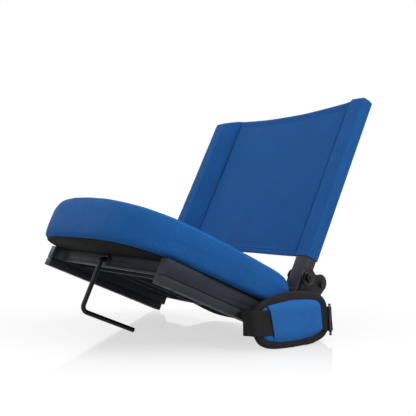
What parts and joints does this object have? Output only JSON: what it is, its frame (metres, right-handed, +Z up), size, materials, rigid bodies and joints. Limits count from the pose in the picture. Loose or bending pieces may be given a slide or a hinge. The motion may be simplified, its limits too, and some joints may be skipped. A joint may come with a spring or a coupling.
{
  "type": "bleacher seat",
  "caption": "Portable bleacher seat: thick cushion on a moulded base, fold-down fabric back on hinged posts, swinging wire plank hook and padded carrying strap.",
  "frame": {"origin": "on the plane of the feet, midway between the foot strips' ends and between the rails", "axes": "+Z up, -Y the front that the sitter's knees are over, +X the sitter's left"},
  "size_m": [0.4887, 0.3999, 0.521],
  "materials": {
    "moulding": "charcoal moulded, fine grain",
    "foot": "charcoal moulded",
    "board": "black board",
    "seat_fabric": "royal blue woven cover",
    "back_fabric": "royal blue woven cover",
    "pad_fabric": "royal blue padded cover",
    "webbing": "black woven webbing",
    "binding": "black edge binding",
    "slider_plastic": "black moulded",
    "bush_plastic": "black moulded",
    "bush_nylon": "natural nylon",
    "disc_plastic": "black, slight gloss",
    "cap_plastic": "black moulded",
    "bracket_paint": "black powder coat",
    "post_paint": "dark grey powder coat",
    "hook_paint": "black coated rod",
    "bolt_steel": "black oxide steel",
    "screw_steel": "zinc plated"
  },
  "bodies": {
    "frame": {"base_tray": "moulding", "foot_rail_left": "foot", "foot_rail_right": "foot", "foot_screws": "screw_steel", "cushion_board": "board", "board_screws": "screw_steel", "seat_cushion": "seat_fabric", "hook_bush": "bush_plastic", "bracket_left": "bracket_paint", "bracket_right": "bracket_paint", "bracket_bolts": "bolt_steel", "bracket_nuts": "bolt_steel", "pivot_bolts": "bolt_steel", "pivot_nuts": "bolt_steel", "pivot_discs": "disc_plastic", "brace_bolts": "bolt_steel", "brace_spacers": "bracket_paint", "brace_nuts": "bolt_steel", "anchor_spacer": "bush_plastic", "anchor_stand": "bracket_paint", "anchor_clamps": "bracket_paint", "anchor_screws": "bolt_steel", "strap_webbing": "webbing", "shoulder_pad": "pad_fabric", "pad_binding": "binding", "pad_sleeve": "pad_fabric", "strap_slider": "slider_plastic"},
    "back": {"back_post_left": "post_paint", "back_post_right": "post_paint", "post_caps": "cap_plastic", "post_end_plugs": "cap_plastic", "pivot_bushes": "bush_nylon", "back_cover": "back_fabric"},
    "hook": {"hook_rod": "hook_paint", "hook_washer": "screw_steel", "hook_retainer": "screw_steel"}
  },
  "joints": [
    {"name": "back_hinge", "type": "hinge", "parent": "frame", "child": "back", "pos_m": [0, 0.121, 0.1055], "axis": [1, 0, 0], "range_deg": [0, 80]},
    {"name": "hook_swing", "type": "hinge", "parent": "frame", "child": "hook", "pos_m": [0, -0.1, 0.0286], "axis": [0, 1, 0], "range_deg": [-78, 78]}
  ]
}
